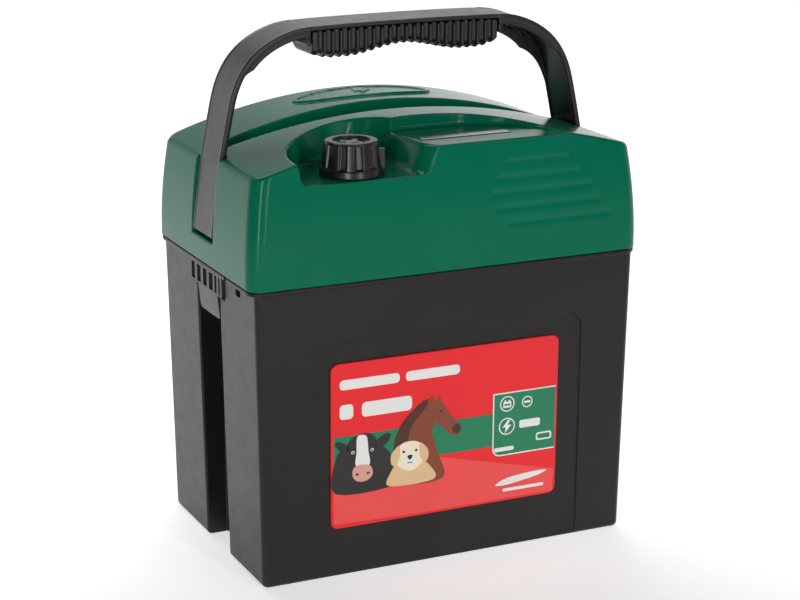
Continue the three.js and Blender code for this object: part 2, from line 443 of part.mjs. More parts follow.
// ---------------------------------------------------------------- carrier and electronics
const posts = [[-66, -24], [76, -24], [-66, 50], [76, 50]];
add('carrier_plate', loft([
  { z: 182, pts: roundRect(-118, 118, -73, 73, 4, 3) }, { z: 184.3, pts: roundRect(-118, 118, -73, 73, 4, 3) }])
  .add(all(...posts.map(([x, y]) => cylZ(x, y, 184, 192.2, 3.6, 12))))
  .subtract(all(...bosses.map(([x, y]) => cylZ(x, y, 170, 190, 2.0, 10))))
  .subtract(cylZ(-40, -40, 170, 190, 5.2, 16)).subtract(cylZ(40, -40, 170, 190, 5.2, 16)), 0x2a2a28, 0.6, 0, lid);
bosses.forEach(([x, y], i) => add('carrier_screw_' + (i + 1), cylZ(x, y, 181, 195, 1.5, 8).add(cylZ(x, y, 179.4, 181.7, 3.4, 10)), STEEL, 0.3, 0.9, lid));
add('circuit_board', box(-72, 82, -30, 56, 192.5, 194.1), 0x1f6b3a, 0.5, 0, lid);
{
  const z = 194.4;
  // impulse transformer: laminated core round a wound bobbin
  const core = box(28, 74, -20, 16, z, z + 34).subtract(box(36, 46, -30, 30, z + 7, z + 27)).subtract(box(56, 66, -30, 30, z + 7, z + 27));
  add('transformer_core', core, 0x55565a, 0.5, 0.7, lid);
  const coil = box(36.4, 65.6, -26, 22, z + 7.4, z + 26.6).subtract(box(45.6, 56.4, -40, 40, z + 0, z + 40).intersect(box(40, 60, -20.4, 16.4, 0, 400)));
  add('transformer_coil', coil.subtract(box(45.6, 56.4, -20.4, 16.4, z - 1, z + 40)), 0x9a4a1d, 0.5, 0.3, lid);
  add('storage_capacitor', loft([
    { z, pts: roundRect(-58, -14, 10, 34, 2, 2) }, { z: z + 30, pts: roundRect(-58, -14, 10, 34, 2, 2) }]), 0xb9bdc2, 0.4, 0, lid);
  add('supply_capacitor', cylZ(4, 38, z, z + 22, 8, 20), 0x2c3f66, 0.4, 0, lid);
  add('heat_sink', all(box(-56, -26, -22, -19.5, z, z + 26), ...[-54, -48, -42, -36, -30].map((x) => box(x, x + 1.6, -20, -10, z, z + 26))), 0x9ba0a6, 0.35, 0.9, lid);
  add('thyristor', box(-46, -36, -26.4, -22.3, z + 6, z + 22), 0x1d1d1f, 0.5, 0, lid);
  add('inductor', (() => {
    const g = new THREE.LatheGeometry([[5, 0], [11, 0], [11, 9], [5, 9], [5, 0]].map(([r, h]) => new THREE.Vector2(r, h)), 20);
    g.rotateX(Math.PI / 2); g.translate(4, 2, z);
    return solid(g);
  })(), 0xb0762c, 0.5, 0.2, lid);
}
// ---------------------------------------------------------------- output terminals at the rear
for (const [name, x, col] of [['fence', -15, 0xc0392b], ['earth', 15, 0x1f7a3a]]) {
  add(name + '_terminal_stud', all(cylY(x, STUD_Z, 52, 77.4, 2.4, 12), cylY(x, STUD_Z, 58.6, 61.9, 5.5, 6)), BRASS, 0.3, 0.9, lid);
  const g = [], n = 24;
  for (let i = 0; i < n; i++) { const a = 2 * Math.PI * i / n, r = i % 2 ? 7.4 : 8.3; g.push([x + r * Math.cos(a), STUD_Z + r * Math.sin(a)]); }
  add(name + '_terminal_knob', prismXZ(g, 67.2, 78.4).subtract(cylY(x, STUD_Z, 60, 77.9, 2.8, 12)), col, 0.45, 0, lid);
}
// ---------------------------------------------------------------- battery leads parked under the carrier
for (const [name, s, col] of [['positive', -1, 0xb8322c], ['negative', 1, 0x1c1c1c]]) {
  const pts = [[40, -40, 189], [40, -40, 184], [40, -40, 178], [43, -39, 173], [49, -37.5, 170.6], [55, -36, 170.2]].map(([x, y, z]) => new THREE.Vector3(s * x, y, z));
  const path = new THREE.CatmullRomCurve3(pts, false, 'centripetal');
  const c = new THREE.Shape();
  for (let i = 0; i < 10; i++) { const a = 2 * Math.PI * i / 10; const x = 2.2 * Math.cos(a), y = 2.2 * Math.sin(a); i ? c.lineTo(x, y) : c.moveTo(x, y); }
  c.closePath();
  const tube = solid(new THREE.ExtrudeGeometry(c, { steps: 18, extrudePath: path, bevelEnabled: false }));
  const clip = box(Math.min(s * 54.5, s * 70), Math.max(s * 54.5, s * 70), -39, -28, 167.4, 173);
  add('battery_lead_' + name, tube.add(clip), col, 0.5, 0, lid);
  add('lead_grommet_' + name, (() => {
    const g = new THREE.LatheGeometry([[2.6, 0], [7, 0], [7, 1.6], [4.9, 1.6], [4.9, 4.6], [6.4, 4.6], [6.4, 6], [2.6, 6], [2.6, 0]].map(([r, h]) => new THREE.Vector2(r, h)), 20);
    g.rotateX(Math.PI / 2); g.translate(s * 40, -40, 180.1);
    return solid(g);
  })(), 0x1b1b1b, 0.8, 0, lid);
}

export default group;
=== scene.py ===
# Battery fence energizer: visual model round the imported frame.
import bpy, bmesh, json, math
import numpy as np
from mathutils import Matrix, Vector


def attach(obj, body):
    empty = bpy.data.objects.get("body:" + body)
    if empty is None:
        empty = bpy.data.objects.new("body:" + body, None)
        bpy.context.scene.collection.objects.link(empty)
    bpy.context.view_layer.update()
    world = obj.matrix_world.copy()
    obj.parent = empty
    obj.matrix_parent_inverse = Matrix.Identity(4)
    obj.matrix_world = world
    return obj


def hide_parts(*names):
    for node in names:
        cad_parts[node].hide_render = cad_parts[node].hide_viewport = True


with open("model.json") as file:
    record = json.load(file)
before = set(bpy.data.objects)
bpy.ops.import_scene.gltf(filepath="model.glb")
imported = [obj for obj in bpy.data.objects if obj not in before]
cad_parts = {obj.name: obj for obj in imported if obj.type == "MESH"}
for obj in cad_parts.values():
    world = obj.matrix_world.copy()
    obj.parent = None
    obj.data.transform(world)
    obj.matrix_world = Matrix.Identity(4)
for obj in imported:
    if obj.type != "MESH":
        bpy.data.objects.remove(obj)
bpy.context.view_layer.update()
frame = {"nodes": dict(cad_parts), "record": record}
nodes = frame["nodes"]
scene = bpy.context.scene

# ------------------------------------------------------------------ camera
fwd = Vector((0.40593, 0.87250, -0.27194)).normalized()
right = fwd.cross(Vector((0, 0, 1))).normalized()
up = right.cross(fwd).normalized()
cam_data = bpy.data.cameras.new("camera")
cam_data.lens = 97.125
cam_data.sensor_width = 36
cam_data.clip_start = 0.05
cam_data.clip_end = 60
cam = bpy.data.objects.new("camera", cam_data)
scene.collection.objects.link(cam)
cam.matrix_world = Matrix((
    (right.x, up.x, -fwd.x, -0.5362),
    (right.y, up.y, -fwd.y, -1.1595),
    (right.z, up.z, -fwd.z, 0.5024),
    (0, 0, 0, 1)))
scene.camera = cam
scene.view_settings.view_transform = "Standard"


# ------------------------------------------------------------------ materials
def lin(r, g, b):
    """sRGB 0-255 to linear"""
    def f(c):
        c /= 255
        return c / 12.92 if c <= 0.04045 else ((c + 0.055) / 1.055) ** 2.4
    return (f(r), f(g), f(b))


def node(nt, kind, x, y, **props):
    n = nt.nodes.new(kind)
    n.location = (x, y)
    for k, v in props.items():
        setattr(n, k, v)
    return n


def moulded(name, rgb, rough=0.4, vary=0.06, tint=0.08, grain=1400, bump=0.10, depth=0.00006,
            metallic=0.0, coat=0.0, spec=0.5, patch=22, patch_bump=0.0, coat_rough=0.08, scuff=0.0, stretch=None):
    """moulded or drawn surface: fine grain, slow mottling in tone and gloss"""
    m = bpy.data.materials.new(name)
    m.use_nodes = True
    nt = m.node_tree
    nt.nodes.clear()
    out = node(nt, "ShaderNodeOutputMaterial", 900, 0)
    p = node(nt, "ShaderNodeBsdfPrincipled", 600, 0)
    nt.links.new(p.outputs[0], out.inputs[0])
    p.inputs["Metallic"].default_value = metallic
    p.inputs["Specular IOR Level"].default_value = spec
    p.inputs["Coat Weight"].default_value = coat
    p.inputs["Coat Roughness"].default_value = coat_rough
    tc = node(nt, "ShaderNodeTexCoord", -900, 0)
    src = tc.outputs["Object"]
    if stretch:
        mp = node(nt, "ShaderNodeMapping", -700, 200)
        mp.inputs["Scale"].default_value = stretch
        nt.links.new(src, mp.inputs[0])
        src = mp.outputs[0]
    slow = node(nt, "ShaderNodeTexNoise", -500, 250)
    slow.inputs["Scale"].default_value = patch
    slow.inputs["Detail"].default_value = 4
    nt.links.new(src, slow.inputs["Vector"])
    ramp = node(nt, "ShaderNodeValToRGB", -250, 250)
    e = ramp.color_ramp.elements
    e[0].position, e[1].position = 0.3, 0.72
    e[0].color = (*[max(0, c * (1 - tint)) for c in rgb], 1)
    e[1].color = (*[min(1, c * (1 + tint) + 0.0008) for c in rgb], 1)
    nt.links.new(slow.outputs[0], ramp.inputs[0])
    nt.links.new(ramp.outputs[0], p.inputs["Base Color"])
    mid = node(nt, "ShaderNodeTexNoise", -500, -50)
    mid.inputs["Scale"].default_value = patch * 5.5
    mid.inputs["Detail"].default_value = 6
    mid.inputs["Roughness"].default_value = 0.65
    nt.links.new(src, mid.inputs["Vector"])
    mr = node(nt, "ShaderNodeMapRange", -250, -50)
    mr.inputs["From Min"].default_value = 0.3
    mr.inputs["From Max"].default_value = 0.7
    mr.inputs["To Min"].default_value = max(0.02, rough - vary)
    mr.inputs["To Max"].default_value = min(1, rough + vary)
    nt.links.new(mid.outputs[0], mr.inputs[0])
    nt.links.new(mr.outputs[0], p.inputs["Roughness"])
    if bump:
        fine = node(nt, "ShaderNodeTexNoise", -500, -350)
        fine.inputs["Scale"].default_value = grain
        fine.inputs["Detail"].default_value = 2
        nt.links.new(src, fine.inputs["Vector"])
        b = node(nt, "ShaderNodeBump", 100, -350)
        b.inputs["Strength"].default_value = bump
        b.inputs["Distance"].default_value = depth
        nt.links.new(fine.outputs[0], b.inputs["Height"])
        last = b
        if patch_bump:
            b2 = node(nt, "ShaderNodeBump", 320, -350)
            b2.inputs["Strength"].default_value = patch_bump
            b2.inputs["Distance"].default_value = 0.0006
            nt.links.new(slow.outputs[0], b2.inputs["Height"])
            nt.links.new(b.outputs[0], b2.inputs["Normal"])
            last = b2
        nt.links.new(last.outputs[0], p.inputs["Normal"])
    return m


M = {
    "bin_plastic": moulded("bin_plastic", (0.0090, 0.0082, 0.0068), 0.38, 0.04, 0.10, 1500, 0.18, 0.00007, spec=0.32),
    "lid_plastic": moulded("lid_plastic", (0.0, 0.138, 0.074), 0.16, 0.03, 0.04, 1300, 0.05, 0.00004, spec=0.14, patch_bump=0.02),
    "handle_plastic": moulded("handle_plastic", (0.0080, 0.0076, 0.0070), 0.34, 0.05, 0.10, 1500, 0.15, 0.00006),
    "grip_plastic": moulded("grip_plastic", (0.0100, 0.0095, 0.0090), 0.42, 0.06, 0.12, 1600, 0.20, 0.00008),
    # latch colour is lighter than the bin's: painted light, for the extra light its upward-tilted tab face catches
    "latch_plastic": moulded("latch_plastic", (0.0300, 0.0285, 0.0260), 0.42, 0.05, 0.10, 1500, 0.18, 0.00006),
    "knob_plastic": moulded("knob_plastic", (0.0085, 0.0080, 0.0072), 0.30, 0.03, 0.08, 1700, 0.04, 0.00006),
    "hub_plastic": moulded("hub_plastic", (0.26, 0.256, 0.245), 0.42, 0.05, 0.08, 1700, 0.15, 0.00005),
    "window_smoke": moulded("window_smoke", (0.021, 0.012, 0.013), 0.14, 0.03, 0.10, 900, 0.03, 0.00003, coat=0.4),
    "label_film": moulded("label_film", lin(232, 20, 30), 0.22, 0.03, 0.03, 900, 0.02, 0.00003, coat=0.2, patch=12, spec=0.35),
    "seal_rubber": moulded("seal_rubber", (0.012, 0.012, 0.012), 0.75, 0.06, 0.15, 2200, 0.3, 0.0001),
    "battery_case": moulded("battery_case", lin(44, 92, 132), 0.48, 0.06, 0.08, 1100, 0.15),
    "battery_cover": moulded("battery_cover", (0.022, 0.023, 0.025), 0.5, 0.06, 0.1, 1100, 0.15),
    "terminal_red": moulded("terminal_red", lin(178, 44, 38), 0.45, 0.06, 0.08),
    "terminal_blue": moulded("terminal_blue", lin(42, 104, 170), 0.45, 0.06, 0.08),
    "steel": moulded("steel", (0.56, 0.57, 0.58), 0.30, 0.08, 0.08, 1800, 0.2, 0.00003, metallic=1.0, patch=60),
    "led_green": moulded("led_green", (0.20, 0.50, 0.12), 0.18, 0.03, 0.05, 900, 0.02),
    "led_red": moulded("led_red", (0.62, 0.05, 0.03), 0.18, 0.03, 0.05, 900, 0.02),
    "board": moulded("board", (0.010, 0.105, 0.040), 0.42, 0.08, 0.25, 500, 0.3, 0.00008, patch=160),
    "switch_body": moulded("switch_body", (0.030, 0.034, 0.040), 0.5, 0.06, 0.1),
    "carrier_plastic": moulded("carrier_plastic", (0.022, 0.022, 0.020), 0.55, 0.06, 0.1, 1300, 0.25, 0.0001),
    "core_iron": moulded("core_iron", (0.14, 0.14, 0.15), 0.45, 0.1, 0.2, 700, 0.6, 0.0001, metallic=0.9, stretch=(1, 6, 1)),
    "copper": moulded("copper", (0.52, 0.17, 0.06), 0.36, 0.08, 0.2, 700, 0.6, 0.0001, metallic=0.8, stretch=(1, 1, 5)),
    "capacitor_body": moulded("capacitor_body", (0.50, 0.51, 0.52), 0.4, 0.05, 0.06),
    "capacitor_sleeve": moulded("capacitor_sleeve", (0.03, 0.06, 0.16), 0.3, 0.05, 0.08),
    "aluminium": moulded("aluminium", (0.62, 0.63, 0.65), 0.36, 0.08, 0.06, 900, 0.3, 0.00005, metallic=1.0, stretch=(1, 1, 8)),
    "device_black": moulded("device_black", (0.014, 0.014, 0.015), 0.5, 0.06, 0.1),
    "brass": moulded("brass", (0.66, 0.43, 0.14), 0.28, 0.07, 0.1, 1500, 0.2, 0.00004, metallic=1.0, patch=60),
    "knob_red": moulded("knob_red", lin(176, 34, 30), 0.42, 0.05, 0.08),
    "knob_green": moulded("knob_green", lin(26, 112, 52), 0.42, 0.05, 0.08),
    "lead_red": moulded("lead_red", lin(170, 36, 32), 0.48, 0.05, 0.08),
    "lead_black": moulded("lead_black", (0.013, 0.013, 0.013), 0.48, 0.05, 0.08),
}
SLOT = {}
for row in frame["record"].get("subparts", []):
    SLOT[row["node"]] = row["material_slot"]


def put(obj, mat):
    obj.data.materials.clear()
    obj.data.materials.append(mat)


# ------------------------------------------------------------------ surfaces from distance functions (mm)
def rmax(a, b, r):
    return np.minimum(-r, np.maximum(a, b)) + np.sqrt(np.maximum(a + r, 0) ** 2 + np.maximum(b + r, 0) ** 2)


def rmin(a, b, r):
    return np.maximum(r, np.minimum(a, b)) - np.sqrt(np.maximum(r - a, 0) ** 2 + np.maximum(r - b, 0) ** 2)


def smooth(e0, e1, x):
    t = np.clip((x - e0) / (e1 - e0), 0, 1)
    return t * t * (3 - 2 * t)


def axis(*runs):
    """grid lines: (from, to, step) runs joined end to end"""
    out = []
    for a, b, s in runs:
        n = max(1, int(round((b - a) / s)))
        out += [a + (b - a) * i / n for i in range(n)]
    return np.array(out + [runs[-1][1]])


def rrect(x, y, hx, hy, r):
    qx, qy = np.abs(x) - (hx - r), np.abs(y) - (hy - r)
    return np.sqrt(np.maximum(qx, 0) ** 2 + np.maximum(qy, 0) ** 2) + np.minimum(np.maximum(qx, qy), 0) - r


def catmull(pts, per=6, closed=False):
    p = np.array(pts, float)
    n = len(p)
    out = []
    for i in range(n if closed else n - 1):
        a, b, c, d = (p[(i + k) % n] if closed else p[min(max(i + k, 0), n - 1)] for k in (-1, 0, 1, 2))
        for j in range(per):
            t = j / per
            out.append(0.5 * (2 * b + (c - a) * t + (2 * a - 5 * b + 4 * c - d) * t * t + (3 * b - a - 3 * c + d) * t ** 3))
    if not closed:
        out.append(p[-1])
    return np.array(out)


def poly_sd(x, y, pts):
    """signed distance to a closed polygon, negative inside"""
    shape = np.broadcast(x, y).shape
    x = np.broadcast_to(x, shape)
    y = np.broadcast_to(y, shape)
    d = np.full(shape, 1e9)
    inside = np.zeros(shape, bool)
    n = len(pts)
    for i in range(n):
        x0, y0 = pts[i]
        x1, y1 = pts[(i + 1) % n]
        ex, ey = x1 - x0, y1 - y0
        l2 = ex * ex + ey * ey
        if l2 < 1e-12:
            continue
        t = np.clip(((x - x0) * ex + (y - y0) * ey) / l2, 0, 1)
        d = np.minimum(d, (x - x0 - t * ex) ** 2 + (y - y0 - t * ey) ** 2)
        if y0 != y1:
            cross = ((y0 > y) != (y1 > y)) & (x < (x1 - x0) * (y - y0) / (y1 - y0) + x0)
            inside ^= cross
    d = np.sqrt(d)
    return np.where(inside, -d, d)


def surface(name, f, xs, ys, zs, body, mat, replaces=(), keep=1.0, steps=3):
    """closed smooth surface of f(x, y, z) = 0, negative inside, with exact normals"""
    X, Y, Z = xs[:, None, None], ys[None, :, None], zs[None, None, :]
    F = np.asarray(f(X, Y, Z), np.float64)
    F = np.broadcast_to(F, (len(xs), len(ys), len(zs)))
    F = np.where(np.abs(F) < 1e-7, 1e-7, F)
    ins = F < 0
    nx, ny, nz = F.shape
    cell = lambda i, j, k: (i * ny + j) * nz + k
    ax = (xs, ys, zs)
    csum = np.zeros((nx * ny * nz, 3))
    ccnt = np.zeros(nx * ny * nz)
    quads = []
    for a in range(3):
        sl0 = [slice(None)] * 3
        sl1 = [slice(None)] * 3
        sl0[a] = slice(0, -1)
        sl1[a] = slice(1, None)
        chg = ins[tuple(sl0)] != ins[tuple(sl1)]
        idx = np.argwhere(chg)
        if not len(idx):
            continue
        j = idx.copy()
        j[:, a] += 1
        f0 = F[tuple(idx.T)]
        f1 = F[tuple(j.T)]
        t = f0 / (f0 - f1)
        pos = np.stack([ax[q][idx[:, q]] for q in range(3)], 1)
        pos[:, a] += t * (ax[a][j[:, a]] - ax[a][idx[:, a]])
        b, c = (a + 1) % 3, (a + 2) % 3
        ids = []
        for db, dc in ((-1, -1), (0, -1), (0, 0), (-1, 0)):
            q = idx.copy()
            q[:, b] += db
            q[:, c] += dc
            ci = cell(q[:, 0], q[:, 1], q[:, 2])
            ids.append(ci)
            for w in range(3):
                csum[:, w] += np.bincount(ci, pos[:, w], len(csum))
            ccnt += np.bincount(ci, minlength=len(csum))
        qd = np.stack(ids, 1)
        flip = f0 > 0
        qd[flip] = qd[flip][:, ::-1]
        quads.append(qd)
    quads = np.concatenate(quads)
    used = np.flatnonzero(ccnt > 0)
    remap = np.full(len(ccnt), -1)
    remap[used] = np.arange(len(used))
    v = csum[used] / ccnt[used][:, None]
    quads = remap[quads]
    ci = np.stack(np.unravel_index(used, (nx, ny, nz)), 1)
    lo = np.stack([ax[q][ci[:, q]] for q in range(3)], 1)
    hi = np.stack([ax[q][np.minimum(ci[:, q] + 1, len(ax[q]) - 1)] for q in range(3)], 1)

    def grad(p, e):
        g = np.zeros_like(p)
        for q in range(3):
            d = np.zeros(3)
            d[q] = e
            g[:, q] = (f(p[:, 0] + d[0], p[:, 1] + d[1], p[:, 2] + d[2]) - f(p[:, 0] - d[0], p[:, 1] - d[1], p[:, 2] - d[2])) / (2 * e)
        return g
    for _ in range(steps):
        g = grad(v, 0.02)
        val = f(v[:, 0], v[:, 1], v[:, 2])
        v = v - (val / np.maximum((g ** 2).sum(1), 0.05))[:, None] * g
        v = np.clip(v, lo, hi)
    me = bpy.data.meshes.new(name)
    me.vertices.add(len(v))
    me.vertices.foreach_set("co", (v / 1000).astype(np.float32).ravel())
    me.loops.add(len(quads) * 4)
    me.loops.foreach_set("vertex_index", quads.astype(np.int32).ravel())
    me.polygons.add(len(quads))
    me.polygons.foreach_set("loop_start", np.arange(0, len(quads) * 4, 4, dtype=np.int32))
    me.update(calc_edges=True)
    me.validate()
    obj = bpy.data.objects.new(name, me)
    scene.collection.objects.link(obj)
    if keep < 1:
        dm = obj.modifiers.new("reduce", "DECIMATE")
        dm.ratio = keep
        dg = bpy.context.evaluated_depsgraph_get()
        new = bpy.data.meshes.new_from_object(obj.evaluated_get(dg))
        obj.modifiers.clear()
        obj.data = new
        new.name = name
        me = new
    n = len(me.vertices)
    co = np.zeros(n * 3, np.float32)
    me.vertices.foreach_get("co", co)
    co = co.reshape(-1, 3).astype(float) * 1000
    g = grad(co, 0.06)
    g /= np.maximum(np.sqrt((g ** 2).sum(1)), 1e-9)[:, None]
    me.polygons.foreach_set("use_smooth", np.ones(len(me.polygons), bool))
    me.normals_split_custom_set_from_vertices(g.astype(np.float32).tolist())
    put(obj, mat)
    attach(obj, body)
    if replaces:
        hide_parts(*replaces)
    return obj


# ------------------------------------------------------------------ lid
def lean(z):
    return np.maximum(0, (z - 187) / 51) ** 1.8


bowl_top = [[-97.5, -95], [-96, -66], [-92.5, -48], [-86, -34.5], [-77, -24.5], [-64, -15.5], [-50, -10.3], [-36, -9.8], [-24.5, -13], [-16, -19.2], [-12, -27], [-10.6, -46], [-9.2, -62], [-6.0, -71], [-0.5, -79], [9, -95]]
bowl_low = [[-92.2, -95], [-91, -66], [-87.6, -50.5], [-81.5, -39], [-73, -30], [-61.5, -22], [-49.5, -17.4], [-39, -17.0], [-31, -19.6], [-25.5, -25], [-22.4, -33], [-21.6, -46], [-20.8, -62], [-18.6, -71], [-13, -79], [-3, -95]]
step_pts = [[84.5, -95], [81, -78], [75.5, -62], [67.5, -47.5], [56, -35.5], [42, -27.6], [25, -23.6], [0, -22.6], [-12, -24.2], [-22, -30]]
BT = catmull(bowl_top, 4)
BL = catmull(bowl_low, 4)
SP = np.concatenate([catmull(step_pts, 4), [[-22, -95]]])
GRIP_LINES = [(36, 76, 239.3), (30, 83, 230.3), (27, 91, 221.8), (29, 97, 212.8), (37, 103, 203.6)]
BOLT = [(-3.2, 6.8), (4.6, 6.8), (1.2, 1.6), (5.0, 1.6), (-3.8, -7.2), (-0.6, -1.2), (-4.6, -1.2)]


def lid_outer(x, y, z):
    L = lean(z)
    side = rrect(x, y, 125 - 4.3 * L, 79.5 - 2.8 * L, 9.0)
    hf = 260.7 - 0.00125 * x * x
    hr = 263.0 - 0.0016 * x * x
    t = smooth(1, 20, y)
    h = hf * (1 - t) + hr * t
    slope = np.sqrt(1 + (2 * 0.0014 * x) ** 2)
    top = (z - h) / slope
    g = rmax(side, top, 2.2)
    # shallow grip lines on the right of the front face
    for x0, x1, zc in GRIP_LINES:
        cx = np.clip(x, x0 + 1.2, x1 - 1.2)
        d2 = (x - cx) ** 2 + (z - zc) ** 2
        g = g + 0.38 * np.exp(-d2 / 3.4) * (y < -60)
    near = (y < -5)
    xb, yb = np.broadcast_arrays(x, y)
    tz = np.clip((z - 237) / 25, 0, 1.2)
    if xb.ndim == 3:
        sb_t, sb_l, ss = poly_sd(x, y, BT), poly_sd(x, y, BL), poly_sd(x, y, SP)
    else:
        sb_t = np.full(xb.shape, 50.0)
        sb_l = sb_t.copy()
        ss = sb_t.copy()
        q = (yb < 2) & (z > 225)
        sb_t[q] = poly_sd(xb[q], yb[q], BT)
        sb_l[q] = poly_sd(xb[q], yb[q], BL)
        ss[q] = poly_sd(xb[q], yb[q], SP)
    bowl = rmax(sb_l * (1 - tz) + sb_t * tz, 237 - z, 4.0)
    step = rmax(ss, 252.8 - z, 2.4)
    g = rmax(g, -rmin(bowl, step, 2.0), 1.0)
    trough = rmax(rmax(np.abs(x) - 112, np.maximum(2 - y + (z - 250) * 0.03, y - 20.4 - (z - 250) * 0.05), 3.0), (hr - 11) - z, 2.5)
    g = rmax(g, -trough, 0.9)
    xin = np.interp(z, [190, 194.4, 243, 262, 290], [120.4, 120.4, 114.2, 110.5, 110.5])
    slot = rmax(rmax(xin - np.abs(x), np.abs(y + 1) - 17.2, 0.7), 194.4 - z, 0.7)
    g = rmax(g, -slot, 0.8)
    pocket = rmax(rmax(np.abs(x) - 31, 65 - y, 1.5), np.abs(z - 206) - 15, 1.5)
    g = rmax(g, -pocket, 1.2)
    # plain oval badge on the rear hump
    k = np.sqrt((x / 46) ** 2 + ((y - 49) / 15) ** 2) + 1e-6
    gk = np.sqrt((x / 46 ** 2) ** 2 + ((y - 49) / 15 ** 2) ** 2) / k + 1e-6
    e = (k - 1) / gk
    if xb.ndim == 3:
        bs = poly_sd(x / 1.25, (y - 49) / 1.25, BOLT) * 1.25
    else:
        bs = np.full(xb.shape, 9.0)
        q = (np.abs(xb) < 14) & (np.abs(yb - 49) < 14)
        bs[q] = poly_sd(xb[q] / 1.25, (yb[q] - 49) / 1.25, BOLT) * 1.25
    rise = 1.3 - 0.75 * (1 - smooth(-3.6, -2.6, e)) * smooth(-0.4, 0.5, bs)
    pad = rmax(e, top - rise, 0.6)
    return np.where(y > 25, rmin(g, pad, 0.7), g)


def lid_sdf(x, y, z):
    g = lid_outer(x, y, z)
    s = rmax(g, -(g + 2.8), 0.3)
    for bx, by in ((-100, 62), (100, 62), (-100, -62), (100, -62)):
        r = np.sqrt((x - bx) ** 2 + (y - by) ** 2)
        s = np.minimum(s, np.maximum(np.maximum(r - 4.2, 184.6 - z), g + 0.6))
        s = np.maximum(s, -np.maximum(r - 1.8, z - 200))
    s = rmax(s, 179.4 - z, 0.5)
    r = np.sqrt((x + 54) ** 2 + (y + 57.5) ** 2)
    s = np.maximum(s, -np.maximum(np.maximum(r - 5.2, 225 - z), z - 245))
    s = rmax(s, -np.maximum(np.maximum(np.abs(x - 19.5) - 29, np.abs(y + 53.5) - 4), 243 - z), 0.35)
    for yy in (-8, 6):
        s = np.maximum(s, -np.maximum(np.sqrt((y - yy) ** 2 + (z - 206) ** 2) - 1.9, np.abs(np.abs(x) - 118) - 6))
    s = np.maximum(s, -np.maximum(np.maximum(np.sqrt((np.abs(x) - 15) ** 2 + (z - 206) ** 2) - 3.0, 55 - y), y - 80))
    return s


lid = surface("lid_moulding", lid_sdf,
              axis((-127, -106, 1.0), (-106, -8, 1.25), (-8, 50, 1.25), (50, 106, 1.25), (106, 127, 1.0)),
              axis((-82, -74, 0.8), (-74, -8, 1.25), (-8, 25, 1.0), (25, 74, 1.4), (74, 82, 1.0)),
              axis((178, 200, 1.6), (200, 242, 0.9), (242, 266, 1.0)),
              "lid", M["lid_plastic"], ["lid_shell"])

# ------------------------------------------------------------------ bin
PANEL_LEAN = 3 / 179.4


def bin_sdf(x, y, z):
    t = z / 179.4
    hw = 118.55 + 3.05 * t
    yf = 75.5 + 3.0 * t
    yc = (78.5 - yf) / 2
    hy = (78.5 + yf) / 2
    wall = rrect(x, y - yc, hw, hy, 4.0)
    ax = np.abs(x)
    outer = rmax(wall, -z, 3.0)
    outer = rmax(outer, z - 179.1, 0.4)
    # channels, latch pockets, label recess
    chan = rmax(rmax(105.6 - ax, np.abs(y - 0.2) - 18.8, 1.0), z - 176.8, 0.6)
    s = rmax(outer, -chan, 1.2)
    pock = rmax(rmax(115.2 - ax, np.abs(y + 0.5) - 26.9, 0.6), np.maximum(162.4 - z, z - 176.8), 0.4)
    s = rmax(s, -pock, 0.5)
    px, pz = ax - (87.2 - 9), z - (143.6 - 9)
    pan = np.sqrt(np.maximum(px, 0) ** 2 + np.maximum(pz, 0) ** 2) + np.minimum(np.maximum(px, pz), 0) - 9
    rec = rmax(pan, y + yf - 1.2, 0.45)
    s = rmax(s, -np.where(y < 0, rec, 9.0), 0.7)
    flange = rmax(rrect(x, y, 124.7, 79.2, 9.0), np.maximum(176.8 - z, z - 179.1), 0.5)
    s = rmin(s, flange, 0.5)
    # hollow
    inner = rmax(rrect(x, y - yc, hw - 2.6, hy - 2.6, 4.0), 3 - z, 3.0)
    inner = rmax(inner, -np.maximum(103.0 - ax, np.abs(y - 0.2) - 21.4), 1.0)
    inner = rmax(inner, -np.maximum(np.maximum(112.6 - ax, np.abs(y + 0.5) - 29.4), 159.8 - z), 0.6)
    s = rmax(s, -inner, 0.4)
    ring = np.abs(rrect(x, y, 121.7, 76.5, 7.5)) - 1.5
    s = np.maximum(s, -np.maximum(ring, 177.5 - z))
    s = np.maximum(s, -np.maximum(np.sqrt((ax - 118.4) ** 2 + (z - 169.6) ** 2) - 1.7, np.abs(y + 0.5) - 28.4))
    s = rmax(s, -np.maximum(np.maximum(123.6 - ax, np.abs(y + 38.5) - 2.5), 176 - z), 0.2)
    hole = rmax(np.abs(y + 49.5) - 3.0, np.abs(z - 173.1) - 2.5, 0.8)
    s = rmax(s, -np.maximum(hole, 115 - ax), 0.3)
    return s


surface("bin_moulding", bin_sdf,
        axis((-127, -102, 0.9), (-102, -90, 3.0), (-90, -84, 0.5), (-84, 84, 5.0), (84, 90, 0.5), (90, 102, 3.0), (102, 127, 0.9)),
        axis((-81, -71, 0.5), (-71, -55, 3.0), (-55, -34, 0.7), (-34, -30, 1.5), (-30, -16, 0.7), (-16, 16, 3.2), (16, 30, 0.7), (30, 73, 4), (73, 81, 0.7)),
        axis((-1.2, 6.8, 0.6), (6.8, 132, 4.0), (132, 146, 0.6), (146, 158, 2.0), (158, 181, 0.65)),
        "bin", M["bin_plastic"], ["bin"])

# ------------------------------------------------------------------ handle
outer = [(0, 316.9), (25, 316.8), (46, 316.5), (58, 316.2), (68.5, 315.2), (76, 313.4), (83, 310.7), (90, 306.9), (96, 302.4), (101, 297.2), (105, 291.4), (108.3, 284.8), (110.8, 277.5), (113.4, 266.5), (116.4, 252), (118.9, 239), (121.2, 223), (123.1, 209), (124.5, 196.8)]
OC = catmull(outer, 4)
OC[:, 1] = np.minimum(OC[:, 1], 316.88)
OUT_POLY = np.concatenate([OC, [[124.6, 190.0], [-20, 190.0], [-20, 316.88]]])


